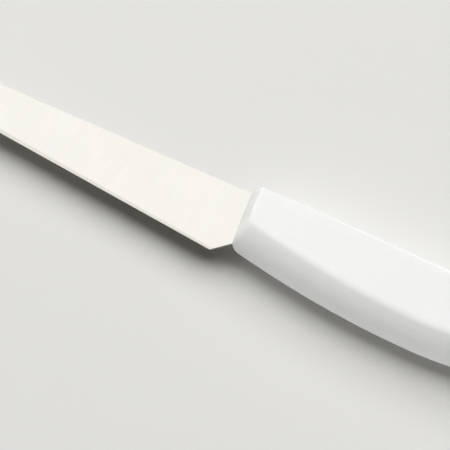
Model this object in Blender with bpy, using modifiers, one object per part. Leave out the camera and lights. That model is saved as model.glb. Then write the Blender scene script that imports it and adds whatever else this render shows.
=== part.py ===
"""Cheese knife lying flat: a stamped forked blade with its tang, the first-shot core that
grips the tang, and the white handle moulded over the core.

Working frame: the blade's back meets the handle at the origin. +X runs to the butt,
+Y from the cutting edge to the back of the blade, +Z up out of the blade's middle plane.
"""
import math
from collections import namedtuple

import bmesh
import bpy
from mathutils import Matrix, Vector

# Blade, in metres
BLADE_THICKNESS = 0.0012
BLADE_REACH = 0.112            # from the handle to the root of the fork
HEEL_DEPTH = 0.0218            # from the back to the corner of the heel
HEEL_SETBACK = 0.0017          # the heel's corner stands this far in front of the handle
EDGE_TAPER = math.radians(5.6)
GRIND_START = 0.0010           # flat strip left along the back
HEEL_STOCK = 0.0005            # thickness left above the bevel at the heel
GRIND_END = 0.010              # the grind dies out inside the handle
BEVEL_ANGLE = math.radians(20.0)
EDGE_LAND = 0.00006            # half the width of the cutting edge itself
BEVEL_RUNOUT = 0.0006          # how far the bevel lifts as it dies out on the fork

# Fork
FORK_ANGLE = math.radians(140.0)
FORK_DROP = 0.0030             # root of the fork below the back's line
PRONG_LENGTH = 0.0110
PRONG_SPREAD = 0.0042          # each point's distance from the fork's centre line
PRONG_TIP_RADIUS = 0.0005
FORK_ROOT_RADIUS = 0.0017
FORK_SWEEP = 0.014             # length over which the back and edge turn up to the fork
EDGE_HOLD = 0.85               # share of the sweep for which the edge keeps its line
BACK_HOLD = 0.60
EDGE_PRONG_HOLD = 0.80         # share of its length for which a prong points straight
BACK_PRONG_HOLD = 0.55

# Tang
TANG_SHOULDER = 0.0095         # where the blade has narrowed to the tang
TANG_TOP = 0.0060              # below the back's line
TANG_DEPTH = 0.0076
TANG_END_WALL = 0.0060         # core left behind the tang
PEG_HOLE_RADIUS = 0.0020
PEG_HOLES = 3
PEG_HOLE_INSET = 0.0120        # end holes to the core's front and the tang's end
TANG_BITE_RADIUS = 0.0010
TANG_CORNER = 0.0019

# Core
CORE_START = 0.0140
CORE_THICKNESS = 0.0086
CORE_BACK_WALL = 0.0035
CORE_BELLY_WALL = 0.0055
CORE_BUTT_WALL = 0.0150
CORE_CORNER = 0.0030
CORE_BITE_RADIUS = 0.0020
CORE_BITES = 4

# Handle
HANDLE_LENGTH = 0.1150
HANDLE_THICKNESS = 0.0150
NOSE_DEPTH = 0.0180
NOSE_TUCK = 0.0006             # the heel's chamfer enters the nose above its corner
NOSE_START = 0.0005            # the wedge nose's leading edge at the back's line
NOSE_SLANT = math.radians(8.2)
NOSE_FLAT_SLANT = math.radians(7.6)
BACK_RISE = 0.0003             # the handle's back stands proud of the blade's
BACK_DROOP = 0.0008            # and falls this much by the butt
SWELL_AT = 0.0620
SWELL_DEPTH = 0.0245
BELLY_LEAD_SLOPE = -0.21
WAIST_FROM_BUTT = 0.0230
WAIST_RISE = 0.0020            # the waist is this much shallower than the swell
HOOK_FROM_BUTT = 0.0040
HOOK_DROP = 0.0013             # and the hook hangs this far below the waist
BUTT_SLANT = math.radians(6.0)

# Insets from the middle plane's outline to the flat, and the roundings
NOSE_INSET = 0.0034
BELLY_INSET_FRONT = 0.0064
BELLY_INSET_REAR = 0.0053
BUTT_INSET = 0.0042
BACK_INSET = 0.0008
NOSE_CROWN = 1.60              # 1 is a flat facet, 2 a full round
BELLY_CROWN = 2.35
BUTT_CROWN = 1.70
BACK_CROWN = 1.50
NOSE_FILLET = 0.0015
CREASE_START = 0.0009          # the long sides' fillets at the nose
BELLY_FILLET = 0.0013
BUTT_FILLET = 0.0024
BACK_FILLET = 0.0016
FILLET_GROWTH = 0.0400         # the long sides' fillets reach full size this far back

# Corners in plan, how far each rounding reaches along both of its sides
NOSE_BELLY_CORNER = 0.0017
NOSE_BACK_CORNER = 0.0007
BUTT_CORNER = 0.0085
FLAT_BELLY_CORNER = 0.0012
FLAT_BACK_CORNER = 0.0007
FLAT_BUTT_CORNER = 0.0060

CLEARANCE = 0.0003             # each piece stands this far off its neighbour
PUNCH_LENGTH = 0.0054          # cutters run this far through the blade
BEVEL_REACH = 1.3              # the bevel's wedge ends past the face by this factor

# How finely curves are cut up
NOSE_STEPS = 8
BELLY_STEPS = 54
BUTT_STEPS = 10
BACK_STEPS = 42
CORNER_STEPS = 7
CROWN_STEPS = 6
CROWN_SPACING = 1.4            # above 1 the crown's points gather at the middle plane
FILLET_STEPS = 5
ARC_STEPS = 10
TIP_STEPS = 4
SWEEP_STEPS = 16
EDGE_STEPS = 12
CROSSING_ROUNDS = 30
SHARP_ANGLE = math.radians(25.0)

HALF_BLADE = BLADE_THICKNESS / 2
HALF_HANDLE = HANDLE_THICKNESS / 2
HALF_CORE = CORE_THICKNESS / 2

Station = namedtuple("Station", "mid flat crown fillet")


def unit(angle):
    """Direction in the blade's plane at an angle from +X."""
    return Vector((math.cos(angle), math.sin(angle)))


def bezier(start, pull_start, pull_end, end, steps):
    """Points along a cubic curve, both ends included."""
    points = []
    for i in range(steps + 1):
        t = i / steps
        s = 1 - t
        points.append(start * s**3 + pull_start * 3*s*s*t + pull_end * 3*s*t*t + end * t**3)
    return points


def corner_curve(start, corner, end, steps):
    """Points strictly between start and end on the parabola that rounds a corner."""
    points = []
    for i in range(1, steps):
        t = i / steps
        points.append(start * (1 - t)**2 + corner * 2*t*(1 - t) + end * t*t)
    return points


def arc(centre, radius, start, sweep, steps):
    """Points of an arc, both ends included."""
    return [centre + unit(start + sweep * i / steps) * radius for i in range(steps + 1)]


def hermite(x, start, end, start_slope=0.0, end_slope=0.0):
    """Height at x of the cubic through two points with the given slopes."""
    span = end[0] - start[0]
    t = (x - start[0]) / span
    return (start[1] * (2*t**3 - 3*t*t + 1) + start_slope * span * (t**3 - 2*t*t + t)
            + end[1] * (3*t*t - 2*t**3) + end_slope * span * (t**3 - t*t))


def offset_outline(points, distance):
    """A counter-clockwise outline moved outwards by a distance."""
    moved = []
    for i, point in enumerate(points):
        before = (point - points[i - 1]).normalized()
        after = (points[(i + 1) % len(points)] - point).normalized()
        normal = Vector((before.y + after.y, -before.x - after.x)).normalized()
        reach = max(normal.dot(Vector((after.y, -after.x))), 0.5)
        moved.append(point + normal * (distance / reach))
    return moved


def along(points, trim_start, trim_end, steps):
    """Evenly spaced points along a polyline with a length cut off each end."""
    lengths = [0.0]
    for a, b in zip(points, points[1:]):
        lengths.append(lengths[-1] + (b - a).length)
    spaced = []
    segment = 0
    for i in range(steps + 1):
        goal = trim_start + (lengths[-1] - trim_start - trim_end) * i / steps
        while segment < len(points) - 2 and lengths[segment + 1] < goal:
            segment += 1
        share = (goal - lengths[segment]) / (lengths[segment + 1] - lengths[segment])
        spaced.append(points[segment].lerp(points[segment + 1], share))
    return spaced


# Lines that the blade, the core and the handle share

def edge_y(x):
    """The straight cutting edge."""
    return -HEEL_DEPTH + math.tan(EDGE_TAPER) * (-HEEL_SETBACK - x)


def face_z(y):
    """Half the blade's thickness after the flat grind."""
    slope = (HALF_BLADE - HEEL_STOCK / 2) / (HEEL_DEPTH - GRIND_START)
    return HALF_BLADE + slope * (y + GRIND_START)


def back_y(x):
    """The handle's back in the middle plane, a long shallow arch."""
    return BACK_RISE - BACK_DROOP * (x / HANDLE_LENGTH)**2


def belly_y(x):
    """The handle's belly in the middle plane: swell, waist and hook."""
    nose = (nose_x(-NOSE_DEPTH, 0), -NOSE_DEPTH)
    swell = (SWELL_AT, -SWELL_DEPTH)
    waist = (HANDLE_LENGTH - WAIST_FROM_BUTT, WAIST_RISE - SWELL_DEPTH)
    hook = (HANDLE_LENGTH - HOOK_FROM_BUTT, waist[1] - HOOK_DROP)
    if x < SWELL_AT:
        return hermite(x, nose, swell, start_slope=BELLY_LEAD_SLOPE)
    if x < waist[0]:
        return hermite(x, swell, waist)
    return hermite(min(x, hook[0]), waist, hook)


def nose_x(y, raised):
    """The nose's front line, in the middle plane (raised 0) or on the flat (raised 1)."""
    slant = NOSE_FLAT_SLANT if raised else NOSE_SLANT
    return NOSE_START + NOSE_INSET * raised - math.tan(slant) * y


def butt_x(y, raised):
    """The butt's end line, in the middle plane or on the flat."""
    return HANDLE_LENGTH - BUTT_INSET * raised - math.tan(BUTT_SLANT) * (y + SWELL_DEPTH / 2)


def belly_inset(x):
    """How far the flat's belly crease lies inside the middle plane's outline."""
    share = min(max(x / SWELL_AT, 0.0), 1.0)
    return BELLY_INSET_FRONT + (BELLY_INSET_REAR - BELLY_INSET_FRONT) * share


# Handle outline: the same stations in the middle plane and on the flat

def crossing(end_x, side_y, x):
    """Where an end line x(y) meets a long side y(x)."""
    for _ in range(CROSSING_ROUNDS):
        x = end_x(side_y(x))
    return Vector((x, side_y(x)))


def handle_outline(raised, belly_corner, butt_corner, back_corner):
    """The outline counter-clockwise: nose, belly, butt, back, each followed by its corner."""
    def nose(y):
        return nose_x(y, raised)

    def butt(y):
        return butt_x(y, raised)

    def belly(x):
        return belly_y(x) + belly_inset(x) * raised

    def back(x):
        return back_y(x) - BACK_INSET * raised

    nose_back = crossing(nose, back, 0.0)
    nose_belly = crossing(nose, belly, 0.0)
    butt_belly = crossing(butt, belly, HANDLE_LENGTH)
    butt_back = crossing(butt, back, HANDLE_LENGTH)
    fine = BELLY_STEPS * 4
    belly_line = [nose_belly.lerp(butt_belly, i / fine) for i in range(fine + 1)]
    belly_line = [Vector((p.x, belly(p.x))) for p in belly_line]
    back_line = [butt_back.lerp(nose_back, i / fine) for i in range(fine + 1)]
    back_line = [Vector((p.x, back(p.x))) for p in back_line]
    sides = [
        along([nose_back, nose_belly], back_corner, belly_corner, NOSE_STEPS),
        along(belly_line, belly_corner, butt_corner, BELLY_STEPS),
        along([butt_belly, butt_back], butt_corner, butt_corner, BUTT_STEPS),
        along(back_line, butt_corner, back_corner, BACK_STEPS),
    ]
    corners = [nose_belly, butt_belly, butt_back, nose_back]
    points = []
    for side, corner, following in zip(sides, corners, sides[1:] + sides[:1]):
        points += side
        points += corner_curve(side[-1], corner, following[0], CORNER_STEPS)
    return points


def spread_round(values):
    """A value for each station from one for each side, blended over the corners."""
    steps = [NOSE_STEPS, BELLY_STEPS, BUTT_STEPS, BACK_STEPS]
    spread = []
    for count, value, following in zip(steps, values, values[1:] + values[:1]):
        spread += [value] * (count + 1)
        spread += [value + (following - value) * i / CORNER_STEPS
                   for i in range(1, CORNER_STEPS)]
    return spread


def grown_fillet(x, full):
    """The long sides' fillets are crisp at the nose and soften towards the palm."""
    share = min(max(x / FILLET_GROWTH, 0.0), 1.0)
    return CREASE_START + (full - CREASE_START) * share


def handle_stations():
    """Every station round the handle with its crown and its fillet."""
    mid = handle_outline(0, NOSE_BELLY_CORNER, BUTT_CORNER, NOSE_BACK_CORNER)
    flat = handle_outline(1, FLAT_BELLY_CORNER, FLAT_BUTT_CORNER, FLAT_BACK_CORNER)
    crowns = spread_round([NOSE_CROWN, BELLY_CROWN, BUTT_CROWN, BACK_CROWN])
    fulls = spread_round([BELLY_FILLET, BELLY_FILLET, BUTT_FILLET, BACK_FILLET])
    noses = spread_round([1.0, 0.0, 0.0, 0.0])
    fillets = [NOSE_FILLET * nose + grown_fillet(f.x, full) * (1 - nose)
               for f, full, nose in zip(flat, fulls, noses)]
    return [Station(*values) for values in zip(mid, flat, crowns, fillets)]


def station_profile(station):
    """The side's points from the middle plane up to the flat, with its fillet."""
    inward = station.flat - station.mid
    inset = inward.length
    inward.normalize()
    top_slope = station.crown * inset / HALF_HANDLE
    fillet_z = HALF_HANDLE - station.fillet / math.hypot(1.0, top_slope)

    def crown(z):
        return inset * (z / HALF_HANDLE)**station.crown

    profile = []
    for i in range(CROWN_STEPS + 1):
        z = fillet_z * (i / CROWN_STEPS)**CROWN_SPACING
        profile.append(Vector((crown(z), z)))
    slope = station.crown * crown(fillet_z) / fillet_z
    corner = Vector((profile[-1].x + slope * (HALF_HANDLE - fillet_z), HALF_HANDLE))
    flat_end = Vector((corner.x + station.fillet, HALF_HANDLE))
    profile += corner_curve(profile[-1], corner, flat_end, FILLET_STEPS) + [flat_end]
    return [(station.mid + inward * p.x).to_3d() + Vector((0, 0, p.y)) for p in profile]


# Outlines of the flat pieces

def bitten_side(start, end, side_y, centres, radius, inwards):
    """A long side from start to end in X with a half-round bite at each centre."""
    heading = 1 if end > start else -1
    points = [Vector((start, side_y(start)))]
    for centre in centres:
        middle = Vector((centre, side_y(centre)))
        for i in range(ARC_STEPS + 1):
            angle = math.pi * i / ARC_STEPS
            points.append(middle + Vector((-heading * math.cos(angle),
                                           inwards * math.sin(angle))) * radius)
    points.append(Vector((end, side_y(end))))
    return points


def tang_end_x():
    """The tang stops short of the core's rear wall."""
    return HANDLE_LENGTH - CORE_BUTT_WALL - TANG_END_WALL


def peg_hole_centres():
    """The holes of the tang, evenly spaced between the core's front and the tang's end."""
    first = CORE_START + PEG_HOLE_INSET
    last = tang_end_x() - PEG_HOLE_INSET
    pitch = (last - first) / (PEG_HOLES - 1)
    return [Vector((first + pitch * i, -TANG_TOP - TANG_DEPTH / 2)) for i in range(PEG_HOLES)]


def tip_curves():
    """The fork: the edge's sweep, both points and the notch between them."""
    axis = unit(FORK_ANGLE)
    across = unit(FORK_ANGLE + math.pi / 2)
    root = Vector((-BLADE_REACH, -FORK_DROP))
    reach = root + axis * PRONG_LENGTH
    edge_point = reach + across * PRONG_SPREAD
    back_point = reach - across * PRONG_SPREAD
    sweep_x = -BLADE_REACH + FORK_SWEEP
    edge_start = Vector((sweep_x, edge_y(sweep_x)))
    edge_turn = edge_start - unit(-EDGE_TAPER) * FORK_SWEEP * EDGE_HOLD
    back_start = Vector((sweep_x, 0.0))
    back_turn = back_start - Vector((FORK_SWEEP * BACK_HOLD, 0.0))
    outer_edge = edge_point + across * PRONG_TIP_RADIUS
    outer_back = back_point - across * PRONG_TIP_RADIUS
    edge_pull = outer_edge - axis * PRONG_LENGTH * EDGE_PRONG_HOLD
    back_pull = outer_back - axis * PRONG_LENGTH * BACK_PRONG_HOLD
    edge_sweep = bezier(outer_edge, edge_pull, edge_turn, edge_start, SWEEP_STEPS)
    back_sweep = bezier(back_start, back_turn, back_pull, outer_back, SWEEP_STEPS)
    quarter = math.pi / 2
    back_tip = arc(back_point, PRONG_TIP_RADIUS, FORK_ANGLE - quarter, math.pi, TIP_STEPS)
    notch = arc(root, FORK_ROOT_RADIUS, FORK_ANGLE - quarter, -math.pi, ARC_STEPS)
    edge_tip = arc(edge_point, PRONG_TIP_RADIUS, FORK_ANGLE - quarter, math.pi, TIP_STEPS)
    return edge_sweep, back_sweep, back_tip[1:] + notch + edge_tip[:-1]


def blade_outline():
    """Blade and tang in one piece, counter-clockwise from the fork along the edge."""
    edge_sweep, back_sweep, fork = tip_curves()
    heel = Vector((-HEEL_SETBACK, -HEEL_DEPTH))
    tuck_y = -NOSE_DEPTH + NOSE_TUCK
    tuck = Vector((nose_x(tuck_y, 0), tuck_y))
    tang_floor = -TANG_TOP - TANG_DEPTH
    tang_root = tuck.x + tang_floor - tuck_y
    end = tang_end_x()
    holes = [centre.x for centre in peg_hole_centres()]
    bites = [(a + b) / 2 for a, b in zip(holes, holes[1:])]
    lower = bitten_side(max(tang_root, TANG_SHOULDER), end - TANG_CORNER,
                        lambda x: tang_floor, bites, TANG_BITE_RADIUS, 1)
    upper = bitten_side(end - TANG_CORNER, TANG_SHOULDER,
                        lambda x: -TANG_TOP, bites[::-1], TANG_BITE_RADIUS, -1)
    end_low = Vector((end, tang_floor + TANG_CORNER))
    end_high = Vector((end, -TANG_TOP - TANG_CORNER))
    shoulder = Vector((TANG_SHOULDER - TANG_TOP, 0.0))
    outline = edge_sweep + [heel, tuck] + lower
    outline += corner_curve(lower[-1], Vector((end, tang_floor)), end_low, CORNER_STEPS)
    outline += [end_low, end_high]
    outline += corner_curve(end_high, Vector((end, -TANG_TOP)), upper[0], CORNER_STEPS)
    return outline + upper + [shoulder] + back_sweep + fork


def core_outline():
    """The core follows the handle's back and belly at an even wall."""
    front = CORE_START
    rear = HANDLE_LENGTH - CORE_BUTT_WALL
    pitch = (rear - front) / (CORE_BITES + 1)
    bites = [front + pitch * (i + 1) for i in range(CORE_BITES)]

    def low(x):
        return belly_y(x) + CORE_BELLY_WALL

    def high(x):
        return back_y(x) - CORE_BACK_WALL

    lower = bitten_side(front + CORE_CORNER, rear - CORE_CORNER, low, bites,
                        CORE_BITE_RADIUS, 1)
    upper = bitten_side(rear - CORE_CORNER, front + CORE_CORNER, high, bites[::-1],
                        CORE_BITE_RADIUS, -1)
    rear_low = Vector((rear, low(rear) + CORE_CORNER))
    rear_high = Vector((rear, high(rear) - CORE_CORNER))
    front_high = Vector((front, high(front) - CORE_CORNER))
    front_low = Vector((front, low(front) + CORE_CORNER))
    outline = list(lower)
    outline += corner_curve(lower[-1], Vector((rear, low(rear))), rear_low, CORNER_STEPS)
    outline += [rear_low, rear_high]
    outline += corner_curve(rear_high, Vector((rear, high(rear))), upper[0], CORNER_STEPS)
    outline += upper
    outline += corner_curve(upper[-1], Vector((front, high(front))), front_high, CORNER_STEPS)
    outline += [front_high, front_low]
    outline += corner_curve(front_low, Vector((front, low(front))), lower[0], CORNER_STEPS)
    return outline


# Building blocks

def material(name, colour, roughness, metallic=0.0):
    """A plain Principled finish."""
    made = bpy.data.materials.new(name)
    made.use_nodes = True
    shader = made.node_tree.nodes["Principled BSDF"]
    shader.inputs["Base Color"].default_value = (*colour, 1.0)
    shader.inputs["Roughness"].default_value = roughness
    shader.inputs["Metallic"].default_value = metallic
    return made


def add_object(name, data, collection):
    """An object of its own in a collection."""
    made = bpy.data.objects.new(name, data)
    collection.objects.link(made)
    return made


def plate(name, outline, half_thickness, collection):
    """A flat plate cut to an outline."""
    curve = bpy.data.curves.new(name, "CURVE")
    curve.dimensions = "2D"
    curve.fill_mode = "BOTH"
    curve.extrude = half_thickness
    spline = curve.splines.new("POLY")
    spline.points.add(len(outline) - 1)
    for point, place in zip(spline.points, outline):
        point.co = (place.x, place.y, 0.0, 1.0)
    spline.use_cyclic_u = True
    drawn = add_object(name + "_outline", curve, collection)
    evaluated = drawn.evaluated_get(bpy.context.evaluated_depsgraph_get())
    mesh = bpy.data.meshes.new_from_object(evaluated)
    made = add_object(name, mesh, collection)
    made.matrix_world = drawn.matrix_world
    bpy.data.objects.remove(drawn)
    shape = bmesh.new()
    shape.from_mesh(mesh)
    bmesh.ops.remove_doubles(shape, verts=shape.verts, dist=1e-6)
    bmesh.ops.recalc_face_normals(shape, faces=shape.faces)
    shape.to_mesh(mesh)
    shape.free()
    return made


def loft(name, rings, collection, close_ends):
    """A surface through closed rings of as many points each."""
    shape = bmesh.new()
    rows = [[shape.verts.new(point) for point in ring] for ring in rings]
    for low, high in zip(rows, rows[1:]):
        for i in range(len(low)):
            j = (i + 1) % len(low)
            shape.faces.new((low[i], low[j], high[j], high[i]))
    shape.faces.new(rows[-1])
    if close_ends:
        shape.faces.new(rows[0][::-1])
        bmesh.ops.recalc_face_normals(shape, faces=shape.faces)
    mesh = bpy.data.meshes.new(name)
    shape.to_mesh(mesh)
    shape.free()
    return add_object(name, mesh, collection)


def hide_cutter(cutter):
    """A cutter is drawn as wire and never rendered."""
    cutter.hide_render = True
    cutter.display_type = "WIRE"


def cut(target, cutter):
    """Take the cutter out of the target."""
    hide_cutter(cutter)
    boolean = target.modifiers.new("cut " + cutter.name, "BOOLEAN")
    boolean.operation = "DIFFERENCE"
    boolean.solver = "EXACT"
    boolean.object = cutter


def mirror_halves(target):
    """Make the lower half from the upper one."""
    mirror = target.modifiers.new("both faces", "MIRROR")
    mirror.use_axis = (False, False, True)
    mirror.merge_threshold = 1e-6


# Blade and its grinds

def flat_grind_cutter(name, grow, collection):
    """The wedges that a flat grind takes off both faces."""
    reach = BLADE_REACH + PRONG_LENGTH * 2
    deep = -HEEL_DEPTH - BLADE_THICKNESS
    top = PUNCH_LENGTH / 2 + grow
    high = HEEL_DEPTH / 2
    section = [(high, face_z(high) + grow), (high, top), (deep, top), (deep, face_z(deep) + grow)]
    rings = [[(x, y, z) for y, z in section] for x in (-reach, GRIND_END - grow)]
    wedge = loft(name, rings, collection, close_ends=True)
    mirror_halves(wedge)
    return wedge


def edge_bevel_cutter(name, collection):
    """The wedges that the edge bevel takes off, swept along the edge and up to the fork."""
    edge_sweep = tip_curves()[0]
    kept = edge_sweep[SWEEP_STEPS // 3:]
    past_heel = -HEEL_SETBACK + BLADE_THICKNESS
    straight = [Vector((x, edge_y(x))) for x in
                (kept[-1].x + (past_heel - kept[-1].x) * i / EDGE_STEPS
                 for i in range(1, EDGE_STEPS + 1))]
    path = kept + straight
    rise = math.tan(BEVEL_ANGLE)
    inner = HALF_BLADE / rise * BEVEL_REACH
    outer = -inner
    rings = []
    for i, point in enumerate(path):
        heading = (path[min(i + 1, len(path) - 1)] - path[max(i - 1, 0)]).normalized()
        inward = Vector((-heading.y, heading.x))
        lift = EDGE_LAND + BEVEL_RUNOUT * max(1 - 2 * i / len(kept), 0.0)**2
        section = [(outer, lift / 2), (-lift / 2 / rise, lift / 2),
                   (inner, lift + inner * rise), (outer, lift + inner * rise)]
        rings.append([(point + inward * n).to_3d() + Vector((0, 0, z)) for n, z in section])
    wedge = loft(name, rings, collection, close_ends=True)
    mirror_halves(wedge)
    return wedge


def peg_hole_cutter(name, shrink, collection):
    """The punches for the tang's holes, or the room that the pegs leave in the socket."""
    shape = bmesh.new()
    for centre in peg_hole_centres():
        bmesh.ops.create_cone(shape, cap_ends=True, segments=ARC_STEPS * 2,
                              radius1=PEG_HOLE_RADIUS - shrink,
                              radius2=PEG_HOLE_RADIUS - shrink,
                              depth=PUNCH_LENGTH,
                              matrix=Matrix.Translation(centre.to_3d()))
    mesh = bpy.data.meshes.new(name)
    shape.to_mesh(mesh)
    shape.free()
    return add_object(name, mesh, collection)


def blade_solid(name, grow, collection, cutters):
    """Blade and tang with the flat grind on both faces, grown by a clearance for a cutter."""
    outline = offset_outline(blade_outline(), grow)
    solid = plate(name, outline, HALF_BLADE + grow, collection)
    cut(solid, flat_grind_cutter(name + "_grind", grow, cutters))
    cut(solid, peg_hole_cutter(name + "_holes", grow, cutters))
    return solid


def make_blade(collection, cutters):
    """The stainless blade with its bevelled edge, fork and tang."""
    blade = blade_solid("blade", 0.0, collection, cutters)
    cut(blade, edge_bevel_cutter("edge_bevel", cutters))
    blade.data.materials.append(material("satin_stainless", (0.86, 0.84, 0.81), 0.32, 1.0))
    return blade


def make_core(collection, cutters, socket):
    """The first shot round the tang: its pegs fill the tang's holes."""
    core = plate("tang_core", core_outline(), HALF_CORE, collection)
    cut(core, socket)
    core.data.materials.append(material("core_plastic", (0.72, 0.72, 0.70), 0.6))
    return core


def make_handle(collection, cutters, socket):
    """The white handle moulded over the core, open at the nose for the blade."""
    profiles = [station_profile(station) for station in handle_stations()]
    rings = list(zip(*profiles))
    handle = loft("handle", rings, collection, close_ends=False)
    mirror_halves(handle)
    cavity = plate("core_cavity", offset_outline(core_outline(), CLEARANCE),
                   HALF_CORE + CLEARANCE, cutters)
    cut(handle, cavity)
    cut(handle, socket)
    handle.data.materials.append(material("white_plastic", (0.88, 0.88, 0.87), 0.5))
    return handle


def main():
    """Build the knife and set it down with its footprint's middle at the origin."""
    for old in list(bpy.data.objects):
        bpy.data.objects.remove(old)
    parts = bpy.data.collections.new("cheese_knife")
    cutters = bpy.data.collections.new("cutters")
    for collection in (parts, cutters):
        bpy.context.scene.collection.children.link(collection)
    socket = blade_solid("blade_socket", CLEARANCE, cutters, cutters)
    pieces = [make_blade(parts, cutters), make_core(parts, cutters, socket),
              make_handle(parts, cutters, socket)]
    for piece in pieces:
        piece.data.shade_smooth()
        piece.data.set_sharp_from_angle(angle=SHARP_ANGLE)
    bpy.context.view_layer.update()
    graph = bpy.context.evaluated_depsgraph_get()
    corners = [Vector(c) for piece in pieces for c in piece.evaluated_get(graph).bound_box]
    low = Vector([min(c[i] for c in corners) for i in range(3)])
    high = Vector([max(c[i] for c in corners) for i in range(3)])
    origin = bpy.data.objects.new("knife_origin", None)
    parts.objects.link(origin)
    origin.location = (-(low.x + high.x) / 2, -(low.y + high.y) / 2, -low.z)
    for thing in pieces + list(cutters.objects):
        thing.parent = origin
    bpy.context.view_layer.update()


if __name__ == "__main__":
    main()
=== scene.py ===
"""Cheese knife: its finished blade and handle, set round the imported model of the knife.

The knife lies on the handle's lower flat. The blade's back meets the handle at the knife's own
origin, which has +X towards the butt, +Y towards the back of the blade and +Z up from the blade's
middle plane. Everything is in metres.
"""
import math
from collections import namedtuple

import bmesh
import bpy
from bpy.props import FloatProperty, FloatVectorProperty, PointerProperty
from mathutils import Matrix, Vector


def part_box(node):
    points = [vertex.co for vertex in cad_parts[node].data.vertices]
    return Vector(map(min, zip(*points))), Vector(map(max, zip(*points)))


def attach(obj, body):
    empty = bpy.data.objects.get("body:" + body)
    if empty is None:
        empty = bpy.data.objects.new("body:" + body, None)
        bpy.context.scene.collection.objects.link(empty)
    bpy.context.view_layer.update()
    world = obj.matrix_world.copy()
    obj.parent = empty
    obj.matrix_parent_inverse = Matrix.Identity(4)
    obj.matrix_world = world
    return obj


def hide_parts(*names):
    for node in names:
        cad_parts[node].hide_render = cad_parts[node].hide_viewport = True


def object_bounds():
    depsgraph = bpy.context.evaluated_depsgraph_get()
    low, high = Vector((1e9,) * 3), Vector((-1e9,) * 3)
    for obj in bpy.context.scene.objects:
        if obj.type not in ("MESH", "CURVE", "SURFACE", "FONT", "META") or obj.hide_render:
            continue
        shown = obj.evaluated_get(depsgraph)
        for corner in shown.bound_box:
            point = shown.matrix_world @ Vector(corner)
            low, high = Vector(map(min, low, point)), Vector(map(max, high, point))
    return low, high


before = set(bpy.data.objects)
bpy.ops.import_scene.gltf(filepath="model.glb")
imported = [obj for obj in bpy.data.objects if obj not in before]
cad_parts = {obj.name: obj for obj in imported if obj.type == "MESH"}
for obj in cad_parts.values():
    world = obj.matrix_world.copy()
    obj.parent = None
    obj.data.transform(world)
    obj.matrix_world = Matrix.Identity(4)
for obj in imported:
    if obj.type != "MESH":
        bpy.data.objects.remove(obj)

bl_info = {
    "name": "Cheese Knife",
    "version": (1, 0, 0),
    "blender": (4, 5, 0),
    "location": "View3D > Sidebar > Cheese Knife",
    "description": "Forked cheese knife with a ground steel blade and a white moulded handle",
    "category": "Add Mesh",
}

CAD_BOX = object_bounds()
BLADE_LOW, BLADE_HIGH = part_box("blade")
HANDLE_LOW, HANDLE_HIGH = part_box("handle")

# Heel of the blade
HEEL_SETBACK = 0.0017          # the heel's corner stands this far in front of the handle
GRIND_START = 0.0010           # flat strip left along the back
HEEL_STOCK = 0.0005            # thickness left above the bevel at the heel
GRIND_END = 0.010              # the grind dies out inside the handle
EDGE_LAND = 0.00003            # half the width of the cutting edge itself
BEVEL_RUNOUT = 0.0006          # how far the bevel lifts as it dies out on the fork

# Fork
FORK_DROP = 0.0030             # root of the fork below the back's line
PRONG_TIP_RADIUS = 0.0005
FORK_ROOT_RADIUS = 0.0017
FORK_SWEEP = 0.014             # length over which the back and edge turn up to the fork
EDGE_HOLD = 0.85               # share of the sweep for which the edge keeps its line
BACK_HOLD = 0.60
EDGE_PRONG_HOLD = 0.80         # share of its length for which a prong points straight
BACK_PRONG_HOLD = 0.55

# Tang
TANG_SHOULDER = 0.0095         # where the blade has narrowed to the tang
TANG_TOP = 0.0060              # below the back's line
TANG_DEPTH = 0.0076
TANG_END_WALL = 0.0060
TANG_CORNER = 0.0019
TANG_BITE_RADIUS = 0.0010
PEG_HOLE_RADIUS = 0.0020
PEG_HOLES = 3
PEG_HOLE_INSET = 0.0120

# Core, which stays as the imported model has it, and the room that the handle leaves for it
CORE_START = 0.0140
CORE_THICKNESS = 0.0086
CORE_BACK_WALL = 0.0035
CORE_BELLY_WALL = 0.0055
CORE_BUTT_WALL = 0.0150
CORE_CORNER = 0.0030
CORE_BITE_RADIUS = 0.0020
CORE_BITES = 4
CORE_CLEARANCE = 0.0003

# Handle
NOSE_DEPTH = 0.0180
NOSE_TUCK = 0.0006             # the heel's chamfer enters the nose above its corner
NOSE_START = 0.0005
NOSE_SLANT = math.radians(8.2)
NOSE_FLAT_SLANT = math.radians(8.2)
BACK_RISE = 0.0003             # the handle's back stands proud of the blade's
BACK_DROOP = 0.0008            # and falls this much by the butt
SWELL_AT = 0.0620
BELLY_LEAD_SLOPE = -0.21
WAIST_FROM_BUTT = 0.0230
HOOK_FROM_BUTT = 0.0040
BUTT_SLANT = math.radians(6.0)
NOSE_INSET = 0.0036
BELLY_INSET_FRONT = 0.0064
BELLY_INSET_REAR = 0.0053
BUTT_INSET = 0.0042
BACK_INSET = 0.0008
NOSE_CROWN = 1.55              # 1 is a flat facet, 2 a full round
BELLY_CROWN = 2.35
BUTT_CROWN = 1.70
BACK_CROWN = 1.50
FILLET_GROWTH = 0.0400         # the long sides' fillets reach full size this far back
NOSE_BELLY_CORNER = 0.0017
NOSE_BACK_CORNER = 0.0007
BUTT_CORNER = 0.0085
FLAT_BELLY_CORNER = 0.0012
FLAT_BACK_CORNER = 0.0007
FLAT_BUTT_CORNER = 0.0060
PARTING_HALF_WIDTH = 0.00006   # the hairline that the mould's halves leave along the middle
PARTING_FLANK = 0.00012
FLAT_BORDERS = (0.0004, 0.0014)   # rings inside the flat's rim keep its shading even

# Cutters
PUNCH_LENGTH = 0.0054
BEVEL_REACH = 1.3
BLADE_FIT = 0.00003            # the moulding closes onto the steel but for this
WELD_DISTANCE = 1e-7
MIRROR_WELD = 1e-6
RIM_SEGMENTS = 2

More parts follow.
